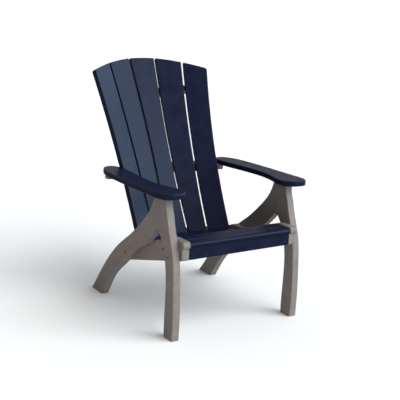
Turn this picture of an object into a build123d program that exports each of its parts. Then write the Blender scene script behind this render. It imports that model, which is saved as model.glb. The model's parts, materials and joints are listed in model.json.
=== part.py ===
from build123d import *
from math import cos, radians, sin
import os

# Adirondack chair in millimetres: it stands on z = 0, faces -Y and is the same on both sides of x = 0.
# Side outlines are (y, z) pairs measured from the toes of the front legs.

# Boards
frameBoard = 38.1
seatBoard = 25.4
apronBoard = 25.4
armBoard = 25.4
backBoard = 25.4
crownBoard = 31.75

# Layout
toeY = -487.0
legOuter = 353.85
armUnder = 648.0
easeFrame = 4.0
easeBoard = 3.0
easeRail = 5.0
easeArm = 5.0

# Seat
seatTop = 454.0
noseTip = -16.0
bullnose = 12.0
rearSlatEdge = [(-1, 57), (-0.57, 103), (-0.2, 133), (0.2, 133), (0.57, 103), (1, 57)]
seatSlatWidth = 54.0
seatGap = 6.0
slopeStart = (107.0, 449.9)
slopeAngle = 18.98
slopeSlats = 5
rearSlatAngle = 8.5
apronFront = -5.0
apronBottom = 373.0

# Back: each flat board lies on y = at - fall * |x| + lean * (z - 700)
backGap = 8.0
backCorner = 4.0
backShoulder = 14.0
crownTop = 1184.0
crownDrop = 49.0
crownHalf = 332.0
centreBoard = dict(at=734.0, fall=0.0, lean=0.491)
innerBoard = dict(at=751.9, fall=0.307, lean=0.505)
outerBoard = dict(at=786.6, fall=0.5, lean=0.518)
centreJoint = [(61, 275), (55, 500), (56, 800), (67, 1050), (75, 1177)]
innerJoint = [(159, 275), (162, 500), (179, 800), (203, 1050), (217, 1160)]
outerEdge = [(266, 275), (268, 500), (288, 800), (319, 1050), (332, 1133)]

# Braces behind the back
lowerBraceBottom = 290.0
armBraceStep = 279.0
armBraceRear = 792.0
armBraceEnd = [(338, 664), (349, 676), (345, 700), (325, 722), (285, 741), (160, 776)]
easeBrace = 5.0
crownBraceSwell = (20, 88)
crownBraceAt = 1019.4
crownBraceHalf = 277.0

# Fasteners: head radius, head height, shank radius, square drive
woodScrew = dict(head=4.6, cone=3.2, shank=2.4, drive=3.2)
frameBolt = dict(head=6.5, cone=4.0, shank=3.2, drive=4.8)
headRim = 0.6
pilotGap = 0.15
seatScrew = 62.0
braceScrew = 48.0
backScrew = 50.0
armScrew = 50.0
boltLength = 64.0
dowelRadius = 5.0
dowelLength = 60.0

# Worked out from the sizes above
legInner = legOuter - frameBoard
railInner = legInner - frameBoard
sides = ((-1, "left"), (1, "right"))

# Outlines of the side frame
frontLegFront = [(0, 0), (-5, 130), (0, 270), (15, 400), (50, 500), (68, 567)]
seamMiddle = (116, 529)
frontLegRear = [(168, 484), (144, 480), (115, 445), (81, 362), (68, 200), (73, 0)]
rearLegFront = [(68, 567), (80, 595), (85, armUnder)]
rearLegTopBack = 183.0
rearLegUpper = [
    (rearLegTopBack, armUnder), (213, 577), (290, 494), (381, 418),
    (506, 332), (639, 217), (759, 79), (824, 0),
]
rearLegLower = [(706, 0), (652, 78), (600, 141), (503, 218), (390, 311), (307, 362), (231, 418), (168, 484)]
railTop = [
    (-3, 460), (84, 460), (374, 361), (463, 361), (512, 340),
    (548, 300), (540, 227), (-5, 373), (-5, 425),
]
railRound = [60, 60, 60, 40, 30, 25, 10]
railNose = (-17, 442)
armOutline = [
    (345, 12), (385, 26), (402, 60), (406, 130), (407, 300), (405, 470), (396, 590), (376, 656),
    (350, 688), (324, 694), (302, 681), (288, 645), (285, 580), (297, 460), (307, 340), (302, 230),
    (287, 160), (271, 95), (276, 48), (303, 18),
]

# Fastener places
railBolts = [(55, 379), (91, 410), (400, 330), (455, 296)]
apronScrews = [(8, 388), (8, 412)]
braceScrews = [(507, 309), (530, 309)]
seamDowels = [0.3, 0.7]
lowerScrewRow = 325.0
armScrewRow = 645.0
armScrews = [(335, 108), (335, 158), (306, 677), (334, 678)]


def sidePlane(x):
    return Plane(origin=(x, toeY, 0), x_dir=(0, 1, 0), z_dir=(1, 0, 0))


def spot(x, y, z, way):
    return Plane(origin=(x, toeY + y, z), z_dir=way)


def backPlane(board, side, s, z):
    """Front face of a back board, placed at distance s from the middle and height z."""
    fall = side * board["fall"]
    y = board["at"] - board["fall"] * s + board["lean"] * (z - 700)
    origin = (side * s, toeY + y, z)
    return Plane(origin=origin, x_dir=(1, -fall, 0), z_dir=(-fall, -1, board["lean"]))


def screwBody(size, length, grow=0.0, above=0.0):
    """Countersunk screw along -Z, its head flush at z = 0; grow widens the shank into a pilot hole."""
    shank = size["shank"] + grow
    coneEnd = -headRim - size["cone"] * (size["head"] - shank) / (size["head"] - size["shank"])
    tip = -length - grow
    with BuildPart(mode=Mode.PRIVATE) as body:
        with BuildSketch(Plane.XZ):
            with BuildLine():
                Polyline(
                    (0, above), (size["head"], above), (size["head"], -headRim), (shank, coneEnd),
                    (shank, tip + 2 * shank), (0, tip), (0, above),
                )
            make_face()
        revolve(axis=Axis.Z)
        if grow == 0:
            with BuildSketch(Plane.XY):
                Rectangle(size["drive"], size["drive"])
            extrude(amount=-0.7 * size["cone"], mode=Mode.SUBTRACT)
    return body.part


def pilot(size, length):
    return screwBody(size, length, pilotGap, 1.0)


def save(builder, name):
    builder.part.label = name
    export_step(builder.part, "parts/" + name + ".step")


os.makedirs("parts", exist_ok=True)


# Seat slats in side view: where the top front corner of each lies and how far it slopes down
pitch = seatSlatWidth + seatGap
slatStarts = [(noseTip, seatTop), (noseTip + pitch, seatTop)]
slatAngles = [0.0, 0.0]
for k in range(slopeSlats + 1):
    along = k * pitch
    slatStarts.append((
        slopeStart[0] + along * cos(radians(slopeAngle)),
        slopeStart[1] - along * sin(radians(slopeAngle)),
    ))
    slatAngles.append(slopeAngle)
slatAngles[-1] = rearSlatAngle


def inSlat(k, along):
    """Point at mid thickness of seat slat k, a given distance back from its front edge."""
    slope = radians(slatAngles[k])
    y = slatStarts[k][0] + along * cos(slope) - seatBoard / 2 * sin(slope)
    z = slatStarts[k][1] - along * sin(slope) - seatBoard / 2 * cos(slope)
    return (y, z)


slatScrews = []
for k in range(len(slatStarts)):
    slatScrews += [inSlat(k, seatSlatWidth * 0.26), inSlat(k, seatSlatWidth * 0.74)]


def dowelPlace(side, share):
    """A place on the butt joint of the legs, share of the way up it, pointing across the joint."""
    low = Vector(*frontLegRear[0])
    high = Vector(*frontLegFront[-1])
    point = low + (high - low) * share
    across = (low.Y - high.Y, high.X - low.X)
    return spot(side * (legOuter - frameBoard / 2), point.X, point.Y, (0, -across[0], -across[1]))


def easeEnds(builder, axis, radius):
    """Round the edges of the two outermost faces along an axis."""
    ends = builder.faces().sort_by(axis)
    fillet(ends[0].edges() + ends[-1].edges(), radius)


# Side frames: front leg, rear leg and seat rail on each side
for side, hand in sides:
    with BuildPart() as frontLeg:
        with BuildSketch(sidePlane(side * legOuter)):
            with BuildLine():
                Spline(*frontLegFront)
                ThreePointArc(frontLegFront[-1], seamMiddle, frontLegRear[0])
                Spline(*frontLegRear)
                Line(frontLegRear[-1], frontLegFront[0])
            make_face()
        extrude(amount=-side * frameBoard)
        fillet(frontLeg.edges().filter_by(GeomType.BSPLINE), easeFrame)
        for y, z in railBolts[:2]:
            with Locations(spot(side * legOuter, y, z, (side, 0, 0))):
                add(pilot(frameBolt, boltLength), mode=Mode.SUBTRACT)
        for share in seamDowels:
            with Locations(dowelPlace(side, share)):
                Cylinder(dowelRadius + pilotGap, dowelLength + 1, mode=Mode.SUBTRACT)
    save(frontLeg, "front_leg_" + hand)

    with BuildPart() as rearLeg:
        with BuildSketch(sidePlane(side * legOuter)):
            with BuildLine():
                Spline(*rearLegFront)
                Line(rearLegFront[-1], rearLegUpper[0])
                Spline(*rearLegUpper)
                Line(rearLegUpper[-1], rearLegLower[0])
                Spline(*rearLegLower)
                ThreePointArc(rearLegLower[-1], seamMiddle, rearLegFront[0])
            make_face()
        extrude(amount=-side * frameBoard)
        fillet(rearLeg.edges().filter_by(GeomType.BSPLINE), easeFrame)
        for y, z in railBolts[2:]:
            with Locations(spot(side * legOuter, y, z, (side, 0, 0))):
                add(pilot(frameBolt, boltLength), mode=Mode.SUBTRACT)
        for share in seamDowels:
            with Locations(dowelPlace(side, share)):
                Cylinder(dowelRadius + pilotGap, dowelLength + 1, mode=Mode.SUBTRACT)
        for x, y in armScrews[:2]:
            with Locations(spot(side * x, y, armUnder + armBoard, (0, 0, 1))):
                add(pilot(woodScrew, armScrew), mode=Mode.SUBTRACT)
    save(rearLeg, "rear_leg_" + hand)

    with BuildPart() as seatRail:
        with BuildSketch(sidePlane(side * legInner)):
            with BuildLine():
                FilletPolyline(*railTop, radius=railRound)
                ThreePointArc(railTop[-1], railNose, railTop[0])
            make_face()
        extrude(amount=-side * frameBoard)
        easeEnds(seatRail, Axis.X, easeRail)
        for y, z in railBolts:
            with Locations(spot(side * legOuter, y, z, (side, 0, 0))):
                add(pilot(frameBolt, boltLength), mode=Mode.SUBTRACT)
        for y, z in slatScrews + apronScrews:
            with Locations(spot(side * legInner, y, z, (side, 0, 0))):
                add(pilot(woodScrew, seatScrew), mode=Mode.SUBTRACT)
        for y, z in braceScrews:
            with Locations(spot(side * legInner, y, z, (side, 0, 0))):
                add(pilot(woodScrew, braceScrew), mode=Mode.SUBTRACT)
    save(seatRail, "seat_rail_" + hand)

    with BuildPart() as arm:
        with BuildSketch(Plane(origin=(0, toeY, armUnder))):
            with BuildLine():
                Spline([(side * x, y) for x, y in armOutline], periodic=True)
            make_face()
        extrude(amount=armBoard)
        easeEnds(arm, Axis.Z, easeArm)
        for x, y in armScrews:
            with Locations(spot(side * x, y, armUnder + armBoard, (0, 0, 1))):
                add(pilot(woodScrew, armScrew), mode=Mode.SUBTRACT)
    save(arm, "arm_" + hand)

# Apron below the nose of the seat
with BuildPart() as apron:
    with BuildSketch(sidePlane(-railInner)):
        with Locations((apronFront, apronBottom)):
            Rectangle(apronBoard, seatTop - seatBoard - apronBottom, align=(Align.MIN, Align.MIN))
    extrude(amount=2 * railInner)
    fillet(apron.edges().filter_by(Axis.X).group_by(Axis.Z)[0], easeBoard)
    for side, hand in sides:
        for y, z in apronScrews:
            with Locations(spot(side * legInner, y, z, (side, 0, 0))):
                add(pilot(woodScrew, seatScrew), mode=Mode.SUBTRACT)
save(apron, "front_apron")

# Seat slats: bullnosed front slat, a level slat, then the slats that follow the sloping rails
for k in range(len(slatStarts)):
    place = Location((slatStarts[k][0], slatStarts[k][1], 0), (0, 0, -slatAngles[k]))
    with BuildPart() as seatSlat:
        if k < len(slatStarts) - 1:
            with BuildSketch(sidePlane(-railInner)):
                with Locations(place):
                    Rectangle(seatSlatWidth, seatBoard, align=(Align.MIN, Align.MAX))
            extrude(amount=2 * railInner)
            long = seatSlat.edges().filter_by(Axis.X).sort_by(Axis.Y)
            fillet(long[:2], bullnose if k == 0 else easeBoard)
            fillet(seatSlat.edges().filter_by(Axis.X).sort_by(Axis.Y)[-2:], easeBoard)
        else:
            slope = radians(slatAngles[k])
            top = Plane(
                origin=(0, toeY + slatStarts[k][0], slatStarts[k][1]),
                x_dir=(1, 0, 0),
                z_dir=(0, sin(slope), cos(slope)),
            )
            with BuildSketch(top):
                with BuildLine():
                    edge = [(x * railInner, y) for x, y in rearSlatEdge]
                    Spline(edge)
                    Polyline(edge[0], (-railInner, 0), (railInner, 0), edge[-1])
                make_face()
            extrude(amount=-seatBoard)
            fillet(seatSlat.faces().sort_by(Axis.Z)[-1].edges().filter_by(GeomType.BSPLINE), easeBoard)
        for side, hand in sides:
            for y, z in slatScrews[2 * k : 2 * k + 2]:
                with Locations(spot(side * legInner, y, z, (side, 0, 0))):
                    add(pilot(woodScrew, seatScrew), mode=Mode.SUBTRACT)
    save(seatSlat, "seat_slat_" + str(k + 1))


# Back boards: side of the chair, surface, inner and outer edge lines
def mirrored(edge):
    return [(-s, z) for s, z in edge]


backBoards = [
    (-1, outerBoard, innerJoint, outerEdge),
    (-1, innerBoard, centreJoint, innerJoint),
    (1, centreBoard, mirrored(centreJoint), centreJoint),
    (1, innerBoard, centreJoint, innerJoint),
    (1, outerBoard, innerJoint, outerEdge),
]


def crownAt(s):
    return crownTop - crownDrop * (s / crownHalf) ** 2


def edgeAt(edge, z):
    """Distance of an edge line from the chair's middle at height z."""
    for (s0, z0), (s1, z1) in zip(edge, edge[1:]):
        if z <= z1:
            return s0 + (s1 - s0) * (z - z0) / (z1 - z0)
    return edge[-1][0]


def middle(board, z):
    """Distance of a back board's middle from the chair's middle at height z, and its half width."""
    inner = edgeAt(board[2], z)
    outer = edgeAt(board[3], z)
    return (inner + outer) / 2, (outer - inner) / 2


def frontOf(board, s, z):
    return backPlane(board[1], board[0], s, z)


def onFace(board, face, s, z):
    """The point of a board's front surface at (s, z), in the coordinates of its face."""
    point = face.to_local_coords(frontOf(board, s, z).origin)
    return (point.X, point.Y)


def crownBraceHeight(board, s):
    """Height at which the plane of the crown brace meets the front of a back board."""
    lean = centreBoard["lean"]
    level = lean * (centreBoard["at"] + lean * (crownBraceAt - 700)) + crownBraceAt
    y0 = board[1]["at"] - board[1]["fall"] * s - 700 * board[1]["lean"]
    return (level - lean * y0) / (1 + lean * board[1]["lean"])


# Three rows of screws through the back boards into the braces
backScrewSpots = [[] for board in backBoards]
for n, board in enumerate(backBoards):
    for row in ("lower", "arm", "crown"):
        height = {"lower": lowerScrewRow, "arm": armScrewRow, "crown": crownBraceAt}[row]
        s, half = middle(board, height)
        for step in (-0.5, 0.5):
            z = crownBraceHeight(board, s + step * half) if row == "crown" else height
            backScrewSpots[n].append(frontOf(board, s + step * half, z))

frontSpaces = []
for n, board in enumerate(backBoards):
    face = frontOf(board, middle(board, 700)[0], 700)
    outerTrim = 0 if board[3] is outerEdge else backGap / 2
    inner = [(s + backGap / 2, z) for s, z in board[2]]
    outer = [(s - outerTrim, z) for s, z in board[3]]
    inner[-1] = (inner[-1][0], crownAt(inner[-1][0]))
    outer[-1] = (outer[-1][0], crownAt(outer[-1][0]))
    mid = (inner[-1][0] + outer[-1][0]) / 2
    with BuildPart() as backSlat:
        with BuildSketch(face):
            with BuildLine():
                Spline(*[onFace(board, face, s, z) for s, z in inner])
                Spline(*[onFace(board, face, s, z) for s, z in outer])
                ThreePointArc(
                    onFace(board, face, *inner[-1]),
                    onFace(board, face, mid, crownAt(mid)),
                    onFace(board, face, *outer[-1]),
                )
                Line(onFace(board, face, *inner[0]), onFace(board, face, *outer[0]))
            make_face()
        extrude(amount=-backBoard)
        corners = backSlat.edges().filter_by(Axis(face.origin, face.z_dir))
        shoulder = corners.sort_by(lambda e: abs(e.center().X) + e.center().Z)[-1]
        if outerTrim == 0:
            fillet(shoulder, backShoulder)
        corners = backSlat.edges().filter_by(Axis(face.origin, face.z_dir))
        fillet(corners.filter_by(lambda e: e != shoulder), backCorner)
        easeEnds(backSlat, Axis(face.origin, face.z_dir), easeBoard)
        with Locations(*backScrewSpots[n]):
            add(pilot(woodScrew, backScrew), mode=Mode.SUBTRACT)
    save(backSlat, "back_slat_" + str(n + 1))

    # The space in front of this board's rear face, which the braces keep out of
    spread = 12 if outerTrim == 0 else 0.5
    near = [(s - 0.5, z) for s, z in [(board[2][0][0], 100)] + board[2]]
    far = [(s + spread, z) for s, z in [(board[3][0][0], 100)] + board[3]]
    with BuildPart(mode=Mode.PRIVATE) as front:
        with BuildSketch(face.offset(-backBoard)):
            with BuildLine():
                Polyline([onFace(board, face, s, z) for s, z in near + far[::-1]], close=True)
            make_face()
        extrude(amount=200)
    frontSpaces.append(front.part)

# Braces: boards cut away in front along the rear faces of the back boards
with BuildPart() as lowerBrace:
    with BuildSketch(Plane(origin=(0, toeY, lowerBraceBottom))):
        with BuildLine():
            Polyline((-railInner, 545), (-railInner, 470), (railInner, 470), (railInner, 545))
            ThreePointArc((railInner, 545), (0, 618), (-railInner, 545))
        make_face()
    extrude(amount=frameBoard)
    for space in frontSpaces:
        add(space, mode=Mode.SUBTRACT)
    for side, hand in sides:
        for y, z in braceScrews:
            with Locations(spot(side * legInner, y, z, (side, 0, 0))):
                add(pilot(woodScrew, braceScrew), mode=Mode.SUBTRACT)
    for spots in backScrewSpots:
        with Locations(*spots):
            add(pilot(woodScrew, backScrew), mode=Mode.SUBTRACT)
save(lowerBrace, "back_brace_lower")

armBraceTurn = armBraceEnd[0]
with BuildPart() as armBrace:
    with BuildSketch(Plane(origin=(0, toeY, armUnder - frameBoard))):
        with BuildLine():
            Polyline(
                (-armBraceTurn[0], armBraceTurn[1]), (-armBraceStep, armBraceTurn[1]), (-armBraceStep, 630),
                (armBraceStep, 630), (armBraceStep, armBraceTurn[1]), armBraceTurn,
            )
            Spline(armBraceEnd + [(0, armBraceRear)] + mirrored(armBraceEnd)[::-1])
        make_face()
    extrude(amount=frameBoard)
    underside = armBrace.faces().sort_by(Axis.Z)[0]
    fillet(underside.edges().filter_by(lambda e: e.center().Y > toeY + armBraceTurn[1] - 1), easeBrace)
    for space in frontSpaces:
        add(space, mode=Mode.SUBTRACT)
    for side, hand in sides:
        for x, y in armScrews[2:]:
            with Locations(spot(side * x, y, armUnder + armBoard, (0, 0, 1))):
                add(pilot(woodScrew, armScrew), mode=Mode.SUBTRACT)
    for spots in backScrewSpots:
        with Locations(*spots):
            add(pilot(woodScrew, backScrew), mode=Mode.SUBTRACT)
save(armBrace, "arm_brace")

# The crown brace lies square to the leaning back; its outline is (x, distance behind the centre board's face)
lean = centreBoard["lean"]
crownPlane = Plane(
    origin=(0, toeY + centreBoard["at"] + lean * (crownBraceAt - 700), crownBraceAt),
    x_dir=(1, 0, 0),
    z_dir=(0, lean, 1),
)
with BuildPart() as crownBrace:
    with BuildSketch(crownPlane):
        with BuildLine():
            Polyline(
                (-crownBraceHalf, crownBraceSwell[0]), (-crownBraceHalf, -60), (crownBraceHalf, -60),
                (crownBraceHalf, crownBraceSwell[0]),
            )
            end = (crownBraceHalf, crownBraceSwell[0])
            ThreePointArc(end, (0, crownBraceSwell[1]), (-end[0], end[1]))
        make_face()
    extrude(amount=crownBoard / 2, both=True)
    fillet(crownBrace.edges().filter_by(GeomType.CIRCLE), easeBrace)
    for space in frontSpaces:
        add(space, mode=Mode.SUBTRACT)
    for spots in backScrewSpots:
        with Locations(*spots):
            add(pilot(woodScrew, backScrew), mode=Mode.SUBTRACT)
save(crownBrace, "back_brace_upper")


# Fasteners, one group of separate screws for each job
def screwGroup(name, size, length, places):
    with BuildPart() as group:
        with Locations(*places):
            add(screwBody(size, length))
    save(group, name)


def throughSides(x, spots):
    return [spot(side * x, y, z, (side, 0, 0)) for side, hand in sides for y, z in spots]


screwGroup("frame_bolts", frameBolt, boltLength, throughSides(legOuter, railBolts))
screwGroup("seat_screws", woodScrew, seatScrew, throughSides(legInner, slatScrews))
screwGroup("apron_screws", woodScrew, seatScrew, throughSides(legInner, apronScrews))
screwGroup("brace_screws", woodScrew, braceScrew, throughSides(legInner, braceScrews))
screwGroup("back_screws", woodScrew, backScrew, [place for spots in backScrewSpots for place in spots])
armPlaces = [spot(side * x, y, armUnder + armBoard, (0, 0, 1)) for side, hand in sides for x, y in armScrews]
screwGroup("arm_screws", woodScrew, armScrew, armPlaces)

with BuildPart() as dowels:
    for side, hand in sides:
        for share in seamDowels:
            with Locations(dowelPlace(side, share)):
                Cylinder(dowelRadius, dowelLength)
save(dowels, "leg_dowels")
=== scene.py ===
import bpy, bmesh, json, math
from mathutils import Matrix, Vector


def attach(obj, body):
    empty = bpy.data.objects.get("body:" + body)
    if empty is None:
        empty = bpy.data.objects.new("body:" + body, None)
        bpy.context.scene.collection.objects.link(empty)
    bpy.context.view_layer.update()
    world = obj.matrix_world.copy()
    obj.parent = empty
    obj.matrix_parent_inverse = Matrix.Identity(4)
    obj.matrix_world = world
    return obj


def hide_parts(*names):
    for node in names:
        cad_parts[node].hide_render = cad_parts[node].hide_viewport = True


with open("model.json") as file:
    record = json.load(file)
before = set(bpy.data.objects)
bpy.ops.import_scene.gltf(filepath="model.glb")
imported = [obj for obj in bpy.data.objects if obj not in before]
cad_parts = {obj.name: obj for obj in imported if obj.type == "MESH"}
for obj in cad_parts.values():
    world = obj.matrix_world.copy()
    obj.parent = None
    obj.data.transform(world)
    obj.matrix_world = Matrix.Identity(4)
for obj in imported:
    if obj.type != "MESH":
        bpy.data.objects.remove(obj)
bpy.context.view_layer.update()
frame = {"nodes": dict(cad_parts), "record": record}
nodes = frame["nodes"]
scene = bpy.context.scene
print("frame loaded:", len(nodes), "nodes")


def linear(hexColour):
    # sRGB hex to the linear values the shaders want
    channels = [int(hexColour[i:i + 2], 16) / 255 for i in (1, 3, 5)]
    return tuple(c / 12.92 if c <= 0.04045 else ((c + 0.055) / 1.055) ** 2.4 for c in channels)


def addNode(tree, kind, settings=None, **inputs):
    # one node; an input is a value or another node's output socket
    node = tree.nodes.new(kind)
    for name, value in (settings or {}).items():
        setattr(node, name, value)
    for name, value in inputs.items():
        key = int(name[2:]) if name.startswith("in") and name[2:].isdigit() else name.replace("_", " ")
        socket = node.inputs[key]
        if isinstance(value, bpy.types.NodeSocket):
            tree.links.new(value, socket)
        else:
            socket.default_value = value
    return node


# Poly lumber: solid coloured HDPE board, extruded and then embossed with a wood grain by a roller.
# The eye gets a waxy satin sheen, long shallow grain lines and a little mottling in the colour.
lumber = {
    "navy": {"colour": "#0A122A", "pale": "#121C39", "roughness": 0.33},
    "grey": {"colour": "#7B736D", "pale": "#8B827B", "roughness": 0.46},
    "ringSpacing": 17.67,     # mm between the big grain lines
    "ringLength": 260.0,      # mm along a ring before it wanders
    "ringDepth": 60.0,        # mm into the board
    "ringWander": 9.0,
    "fibreWidth": 2.0,        # mm across the fine grain
    "fibreLength": 26.0,      # mm along the fine grain
    "fibreDepth": 6.0,        # mm into the board
    "mottleSize": 45.0,       # mm
    "embossDepth": 0.5,       # mm
    "ringWeight": 0.3,        # rings against fine grain in the embossing
    "ior": 1.5,
}


def polyLumber(name, tone, along, facing, offset):
    # a board's own copy, so that the grain runs along it and no two boards match
    mat = bpy.data.materials.new(name)
    mat.use_nodes = True
    tree = mat.node_tree
    tree.nodes.clear()
    along = Vector(along).normalized()
    facing = (Vector(facing) - along * along.dot(Vector(facing))).normalized()
    turn = Matrix((along.cross(facing), along, facing)).to_euler()
    coords = addNode(tree, "ShaderNodeTexCoord")
    placed = addNode(tree, "ShaderNodeMapping", {"vector_type": "POINT"}, Vector=coords.outputs["Object"],
                     Rotation=turn, Location=(offset * 0.37, offset * 1.91, offset * 0.23)).outputs[0]
    mm = 1000
    waveBand = math.pi / 10  # width of one band of the wave texture at scale 1
    lines = addNode(tree, "ShaderNodeVectorMath", {"operation": "MULTIPLY"}, in0=placed,
                    in1=(mm * waveBand / lumber["ringSpacing"], mm / lumber["ringLength"],
                         mm / lumber["ringDepth"])).outputs[0]
    rings = addNode(tree, "ShaderNodeTexWave", {"wave_type": "BANDS", "bands_direction": "X"}, Vector=lines,
                    Scale=1.0, Distortion=lumber["ringWander"], Detail=2.5, Detail_Scale=1.1).outputs["Fac"]
    stretch = addNode(tree, "ShaderNodeVectorMath", {"operation": "MULTIPLY"}, in0=placed,
                      in1=(mm / lumber["fibreWidth"], mm / lumber["fibreLength"],
                           mm / lumber["fibreDepth"])).outputs[0]
    fibre = addNode(tree, "ShaderNodeTexNoise", Vector=stretch, Scale=1.0, Detail=4.0, Roughness=0.6).outputs["Fac"]
    mottle = addNode(tree, "ShaderNodeTexNoise", Vector=placed, Scale=mm / lumber["mottleSize"],
                     Detail=3.0, Roughness=0.55).outputs["Fac"]
    ringsSharp = addNode(tree, "ShaderNodeMapRange", {"interpolation_type": "SMOOTHSTEP"}, Value=rings,
                         From_Min=0.35, From_Max=0.9, To_Min=0.0, To_Max=1.0).outputs[0]
    height = addNode(tree, "ShaderNodeMath", {"operation": "MULTIPLY_ADD"}, in0=ringsSharp,
                     in1=lumber["ringWeight"], in2=fibre).outputs[0]
    bump = addNode(tree, "ShaderNodeBump", Strength=0.35, Distance=lumber["embossDepth"] / mm, Height=height)
    shade = addNode(tree, "ShaderNodeMath", {"operation": "MULTIPLY"}, in0=mottle, in1=fibre).outputs[0]
    spread = addNode(tree, "ShaderNodeMapRange", Value=shade, From_Min=0.12, From_Max=0.42).outputs[0]
    base = addNode(tree, "ShaderNodeMix", {"data_type": "RGBA"}, Factor=spread)
    base.inputs[6].default_value = (*linear(lumber[tone]["colour"]), 1)
    base.inputs[7].default_value = (*linear(lumber[tone]["pale"]), 1)
    rough = lumber[tone]["roughness"]
    wear = addNode(tree, "ShaderNodeMapRange", Value=mottle, From_Min=0.3, From_Max=0.7,
                   To_Min=rough - 0.05, To_Max=rough + 0.07).outputs[0]
    shader = addNode(tree, "ShaderNodeBsdfPrincipled", Base_Color=base.outputs[2], Roughness=wear,
                     IOR=lumber["ior"], Normal=bump.outputs[0])
    addNode(tree, "ShaderNodeOutputMaterial", Surface=shader.outputs[0])
    return mat


# how far each back board turns inwards, then which way every board runs and its wide face looks
backFall = {1: -0.5, 2: -0.307, 3: 0.0, 4: 0.307, 5: 0.5}
boardRuns = {
    "front_leg": ((0, 0.04, 1), (1, 0, 0)),
    "rear_leg": ((0, 0.75, -0.66), (1, 0, 0)),
    "seat_rail": ((0, 0.97, -0.26), (1, 0, 0)),
    "arm_left": ((0, 1, 0), (0, 0, 1)),
    "arm_right": ((0, 1, 0), (0, 0, 1)),
    "arm_brace": ((1, 0, 0), (0, 0, 1)),
    "front_apron": ((1, 0, 0), (0, -1, 0)),
    "seat_slat": ((1, 0, 0), (0, 0.2, 1)),
    "back_brace": ((1, 0, 0), (0, 0.2, 1)),
    "leg_dowels": ((0, 0.64, 0.77), (1, 0, 0)),
}
slotOf = {part["node"]: part["material_slot"] for part in frame["record"]["subparts"]}
for count, (name, obj) in enumerate(sorted(nodes.items())):
    if slotOf[name] not in ("frame_lumber", "seat_lumber"):
        continue
    if name.startswith("back_slat"):
        fall = backFall[int(name[-1])]
        along, facing = (0.2 * fall, 0.45, 0.89), (-fall, -1, 0.5)
    else:
        along, facing = next(v for k, v in boardRuns.items() if name.startswith(k))
    tone = "grey" if slotOf[name] == "frame_lumber" else "navy"
    mat = polyLumber("poly_lumber_" + name, tone, along, facing, 0.61 * count)
    obj.data.materials.clear()
    obj.data.materials.append(mat)
print("boards painted")

# Screws, stood on the points of the CAD ones, each turned by its own amount as driven screws are
screws = {
    "wood": {"Head radius": 0.0046, "Cone height": 0.0038, "Shank radius": 0.0024, "Drive": 0.0032},
    "bolt": {"Head radius": 0.0065, "Cone height": 0.0046, "Shank radius": 0.0032, "Drive": 0.0048},
    "seed": 7,
    "scuffsPerMetre": 900.0,  # scuffs of about 1 mm
    "coat": {"grey_screw": "#7C7771", "navy_screw": "#141A36"},
    "steel": "#A8A39E",
    "coatRoughness": 0.42,
    "steelRoughness": 0.52,
}


def screwFinish(name, colour, metallic, roughness):
    # baked enamel or bare steel, with small scuffs that change how it shines
    mat = bpy.data.materials.new(name)
    mat.use_nodes = True
    tree = mat.node_tree
    tree.nodes.clear()
    coords = addNode(tree, "ShaderNodeTexCoord").outputs["Object"]
    scuff = addNode(tree, "ShaderNodeTexNoise", Vector=coords, Scale=screws["scuffsPerMetre"],
                    Detail=3.0).outputs["Fac"]
    rough = addNode(tree, "ShaderNodeMapRange", Value=scuff, From_Min=0.3, From_Max=0.7,
                    To_Min=roughness - 0.08, To_Max=roughness + 0.12).outputs[0]
    base = addNode(tree, "ShaderNodeMix", {"data_type": "RGBA"}, Factor=scuff)
    base.inputs[6].default_value = (*[0.8 * c for c in linear(colour)], 1)
    base.inputs[7].default_value = (*[1.15 * c for c in linear(colour)], 1)
    bump = addNode(tree, "ShaderNodeBump", Strength=0.3, Distance=0.0001, Height=scuff)
    shader = addNode(tree, "ShaderNodeBsdfPrincipled", Base_Color=base.outputs[2], Roughness=rough,
                     Metallic=metallic, Normal=bump.outputs[0])
    addNode(tree, "ShaderNodeOutputMaterial", Surface=shader.outputs[0])
    return mat


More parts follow.
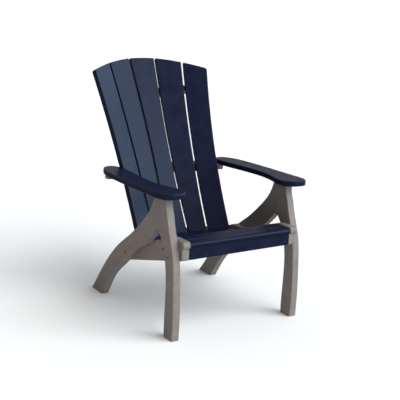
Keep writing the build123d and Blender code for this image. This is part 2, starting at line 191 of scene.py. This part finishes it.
def screwTree():
    # countersunk head with a square recess, shank and point, along -Z, repeated on every point
    tree = bpy.data.node_groups.new("countersunk_screws", "GeometryNodeTree")
    face = tree.interface
    face.new_socket("Geometry", in_out="INPUT", socket_type="NodeSocketGeometry")
    for label in ("Head radius", "Cone height", "Shank radius", "Drive", "Length"):
        face.new_socket(label, in_out="INPUT", socket_type="NodeSocketFloat")
    face.new_socket("Seed", in_out="INPUT", socket_type="NodeSocketInt")
    face.new_socket("Finish", in_out="INPUT", socket_type="NodeSocketMaterial")
    face.new_socket("Geometry", in_out="OUTPUT", socket_type="NodeSocketGeometry")
    given = addNode(tree, "NodeGroupInput").outputs

    def lowered(mesh, depth):
        below = addNode(tree, "ShaderNodeMath", {"operation": "MULTIPLY"}, in0=depth, in1=-1.0).outputs[0]
        offset = addNode(tree, "ShaderNodeCombineXYZ", Z=below).outputs[0]
        return addNode(tree, "GeometryNodeTransform", Geometry=mesh, Translation=offset).outputs[0]

    def sums(operation, one, other):
        return addNode(tree, "ShaderNodeMath", {"operation": operation}, in0=one, in1=other).outputs[0]

    cone = addNode(tree, "GeometryNodeMeshCone", Vertices=48, Radius_Top=given["Head radius"],
                   Radius_Bottom=given["Shank radius"], Depth=given["Cone height"]).outputs[0]
    recessDepth = sums("MULTIPLY", given["Cone height"], 1.2)
    recessSize = addNode(tree, "ShaderNodeCombineXYZ", X=given["Drive"], Y=given["Drive"], Z=recessDepth).outputs[0]
    recess = addNode(tree, "GeometryNodeMeshCube", Size=recessSize).outputs[0]
    head = addNode(tree, "GeometryNodeMeshBoolean", {"operation": "DIFFERENCE"})
    tree.links.new(lowered(cone, given["Cone height"]), head.inputs["Mesh 1"])
    tree.links.new(recess, head.inputs["Mesh 2"])
    point = sums("MULTIPLY", given["Shank radius"], 2.0)
    shaftLength = sums("SUBTRACT", sums("SUBTRACT", given["Length"], given["Cone height"]), point)
    shaft = addNode(tree, "GeometryNodeMeshCylinder", Vertices=20, Radius=given["Shank radius"],
                    Depth=shaftLength).outputs[0]
    shaftDepth = sums("ADD", given["Cone height"], sums("MULTIPLY", shaftLength, 0.5))
    tip = addNode(tree, "GeometryNodeMeshCone", Vertices=20, Radius_Top=given["Shank radius"],
                  Radius_Bottom=0.0002, Depth=point).outputs[0]
    whole = addNode(tree, "GeometryNodeJoinGeometry")
    for piece in (head.outputs[0], lowered(shaft, shaftDepth), lowered(tip, given["Length"])):
        tree.links.new(piece, whole.inputs[0])
    axis = addNode(tree, "GeometryNodeInputNamedAttribute", {"data_type": "FLOAT_VECTOR"}, Name="axis").outputs[0]
    aim = addNode(tree, "FunctionNodeAlignRotationToVector", {"axis": "Z"}, Vector=axis).outputs[0]
    placed = addNode(tree, "GeometryNodeInstanceOnPoints", Points=given["Geometry"], Instance=whole.outputs[0],
                     Rotation=aim).outputs[0]
    turn = addNode(tree, "FunctionNodeRandomValue", {"data_type": "FLOAT"}, in2=0.0, in3=2 * math.pi,
                   Seed=given["Seed"]).outputs[1]
    spin = addNode(tree, "ShaderNodeCombineXYZ", Z=turn).outputs[0]
    turned = addNode(tree, "GeometryNodeRotateInstances", Instances=placed, Rotation=spin).outputs[0]
    real = addNode(tree, "GeometryNodeRealizeInstances", Geometry=turned).outputs[0]
    finished = addNode(tree, "GeometryNodeSetMaterial", Geometry=real, Material=given["Finish"]).outputs[0]
    addNode(tree, "NodeGroupOutput", Geometry=finished)
    return tree


def cadScrews(obj):
    # each separate screw of a CAD node: where its head is, which way it faces, how long it is
    merged = bmesh.new()
    merged.from_mesh(obj.data)
    bmesh.ops.remove_doubles(merged, verts=merged.verts, dist=1e-6)
    met, found = set(), []
    for start in merged.verts:
        if start in met:
            continue
        met.add(start)
        stack, island = [start], []
        while stack:
            vert = stack.pop()
            island.append(vert.co.copy())
            for edge in vert.link_edges:
                other = edge.other_vert(vert)
                if other not in met:
                    met.add(other)
                    stack.append(other)
        centre = sum(island, Vector()) / len(island)
        tip = max(island, key=lambda p: (p - centre).length)
        rough = (centre - tip).normalized()
        reach = max((p - tip).dot(rough) for p in island)
        rim = [p for p in island if (p - tip).dot(rough) > reach - 0.0004]  # the flat top, in metres
        head = sum(rim, Vector()) / len(rim)
        found.append((head, (head - tip).normalized(), (head - tip).length))
    merged.free()
    return found


screwsTree = screwTree()
finishes = {}
for slot, colour in screws["coat"].items():
    finishes[slot] = screwFinish("enamelled_steel_" + slot, colour, 0.0, screws["coatRoughness"])
finishes["bolt_steel"] = screwFinish("dulled_stainless_steel", screws["steel"], 1.0, screws["steelRoughness"])
for name in sorted(n for n in nodes if slotOf[n] in finishes):
    found = cadScrews(nodes[name])
    carrier = bpy.data.meshes.new(name + "_points")
    carrier.from_pydata([head for head, way, length in found], [], [])
    ways = carrier.attributes.new("axis", "FLOAT_VECTOR", "POINT")
    for item, (head, way, length) in zip(ways.data, found):
        item.vector = way
    piece = bpy.data.objects.new(name + "_driven", carrier)
    scene.collection.objects.link(piece)
    grown = piece.modifiers.new("screws", "NODES")
    grown.node_group = screwsTree
    values = dict(screws["bolt" if name == "frame_bolts" else "wood"])
    values.update({"Length": found[0][2], "Seed": screws["seed"], "Finish": finishes[slotOf[name]]})
    for item in screwsTree.interface.items_tree:
        if item.in_out == "INPUT" and item.name in values:
            grown[item.identifier] = values[item.name]
    seen = bpy.context.evaluated_depsgraph_get()
    mesh = bpy.data.meshes.new_from_object(piece.evaluated_get(seen))
    piece.modifiers.clear()
    piece.data = mesh
    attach(piece, "root")
    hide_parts(name)
    print(name, "screws", len(found), "triangles about", sum(len(p.vertices) - 2 for p in mesh.polygons))

# Floor
floorMat = bpy.data.materials.new("matt_white_floor")
floorMat.use_nodes = True
floorShader = floorMat.node_tree.nodes["Principled BSDF"]
floorShader.inputs["Base Color"].default_value = (0.96, 0.955, 0.945, 1)
floorShader.inputs["Roughness"].default_value = 0.9
floorShader.inputs["Specular IOR Level"].default_value = 0.0
floorMesh = bpy.data.meshes.new("floor")
half = 60  # metres
floorMesh.from_pydata([(-half, -half, 0), (half, -half, 0), (half, half, 0), (-half, half, 0)], [], [(0, 1, 2, 3)])
floor = bpy.data.objects.new("floor", floorMesh)
floorMesh.materials.append(floorMat)
scene.collection.objects.link(floor)
floor.visible_glossy = False

# a white wall far behind closes the gap over the floor's edge; only the camera sees it
wallMat = bpy.data.materials.new("white_backdrop")
wallMat.use_nodes = True
wallMat.node_tree.nodes.clear()
paper = addNode(wallMat.node_tree, "ShaderNodeEmission", Color=(1, 1, 1, 1), Strength=1.0)
addNode(wallMat.node_tree, "ShaderNodeOutputMaterial", Surface=paper.outputs[0])
wallMesh = bpy.data.meshes.new("backdrop")
curtain = {"radius": 55, "bottom": -1, "top": 45, "panels": 64}  # metres
panels = curtain["panels"]
turns = [2 * math.pi * k / panels for k in range(panels)]
ring = [(curtain["radius"] * math.cos(t), curtain["radius"] * math.sin(t)) for t in turns]
wallMesh.from_pydata([(x, y, z) for z in (curtain["bottom"], curtain["top"]) for x, y in ring], [],
                     [(k, k + panels, (k + 1) % panels + panels, (k + 1) % panels) for k in range(panels)])
wallMesh.materials.append(wallMat)
backdrop = bpy.data.objects.new("backdrop", wallMesh)
backdrop.visible_diffuse = backdrop.visible_glossy = backdrop.visible_shadow = False
scene.collection.objects.link(backdrop)

# Light: a soft box to the front right, a dim room behind and overhead, a soft key from the front
studio = {
    "room": 0.1, "behind": 0.17, "box": 2.7, "boxTint": (0.6, 0.8, 1.0), "boxTop": 0.75,
    "key": 2.8, "keyTurn": 28, "keyHeight": 40, "keySoft": 60, "fill": 0.9, "fillSoft": 150,
    "boxTowards": (0.87, -0.5, 0), "behindTowards": (0.35, 0.93, 0),
}
world = bpy.data.worlds.new("studio")
scene.world = world
world.use_nodes = True
wt = world.node_tree
wt.nodes.clear()
direction = addNode(wt, "ShaderNodeTexCoord").outputs["Generated"]


def ramp(towards, start, full, low, high):
    # goes from low to high as a direction turns towards the given one
    facing = addNode(wt, "ShaderNodeVectorMath", {"operation": "DOT_PRODUCT"}, in0=direction,
                     in1=Vector(towards).normalized()).outputs["Value"]
    return addNode(wt, "ShaderNodeMapRange", {"interpolation_type": "SMOOTHSTEP"}, Value=facing,
                   From_Min=start, From_Max=full, To_Min=low, To_Max=high).outputs[0]


def times(one, other):
    return addNode(wt, "ShaderNodeMath", {"operation": "MULTIPLY"}, in0=one, in1=other).outputs[0]


aboveFloor = ramp((0, 0, 1), -0.02, 0.02, 0.0, 1.0)
side = times(ramp(studio["boxTowards"], 0.42, 0.66, 0.0, studio["box"]), ramp((1, 0, 0), 0.5, 0.95, 1.0, 0.55))
upper = ramp((0, 0, 1), 0.38, studio["boxTop"], 1.0, 0.05)
box = times(times(times(side, upper), aboveFloor), ramp((0.7, 0, 0.7), 0.35, 0.7, 0.0, 1.0))
behind = times(ramp(studio["behindTowards"], 0.3, 0.9, 0.0, studio["behind"]), aboveFloor)
boxLight = addNode(wt, "ShaderNodeBackground", Color=(*studio["boxTint"], 1), Strength=box)
roomLevel = addNode(wt, "ShaderNodeMath", {"operation": "ADD"}, in0=behind, in1=studio["room"]).outputs[0]
roomLight = addNode(wt, "ShaderNodeBackground", Color=(1, 1, 1, 1), Strength=roomLevel)
glow = addNode(wt, "ShaderNodeAddShader", in0=boxLight.outputs[0], in1=roomLight.outputs[0])
addNode(wt, "ShaderNodeOutputWorld", Surface=glow.outputs[0])

key = bpy.data.objects.new("key", bpy.data.lights.new("key", "SUN"))
key.data.energy = studio["key"]
key.data.angle = math.radians(studio["keySoft"])
turn, rise = math.radians(studio["keyTurn"]), math.radians(studio["keyHeight"])
towardsKey = Vector((math.sin(turn) * math.cos(rise), -math.cos(turn) * math.cos(rise), math.sin(rise)))
key.rotation_mode = "QUATERNION"
key.rotation_quaternion = towardsKey.to_track_quat("Z", "Y")
key.visible_glossy = False
scene.collection.objects.link(key)
fill = bpy.data.objects.new("fill", bpy.data.lights.new("fill", "SUN"))
fill.data.energy = studio["fill"]
fill.data.angle = math.radians(studio["fillSoft"])
fill.visible_glossy = False
scene.collection.objects.link(fill)
scene.view_settings.view_transform = "Standard"

# Camera
lens = {
    "place": (-2.141, -3.429, 1.477), "turn": -33.01, "height": 13.40, "roll": 2.13, "focal": 826.0, "frame": 400.0,
}
a, e, r = (math.radians(lens[k]) for k in ("turn", "height", "roll"))
backward = Vector((math.sin(a) * math.cos(e), -math.cos(a) * math.cos(e), math.sin(e)))
level = Vector((math.cos(a), math.sin(a), 0))
upward = backward.cross(level)
sideways = level * math.cos(r) + upward * math.sin(r)
upright = upward * math.cos(r) - level * math.sin(r)
camera = bpy.data.objects.new("camera", bpy.data.cameras.new("camera"))
camera.data.sensor_width = 36
camera.data.lens = 36 * lens["focal"] / lens["frame"]
camera.matrix_world = Matrix.Translation(lens["place"]) @ Matrix((sideways, upright, backward)).transposed().to_4x4()
scene.collection.objects.link(camera)
scene.camera = camera
print("stage, light and camera ready")
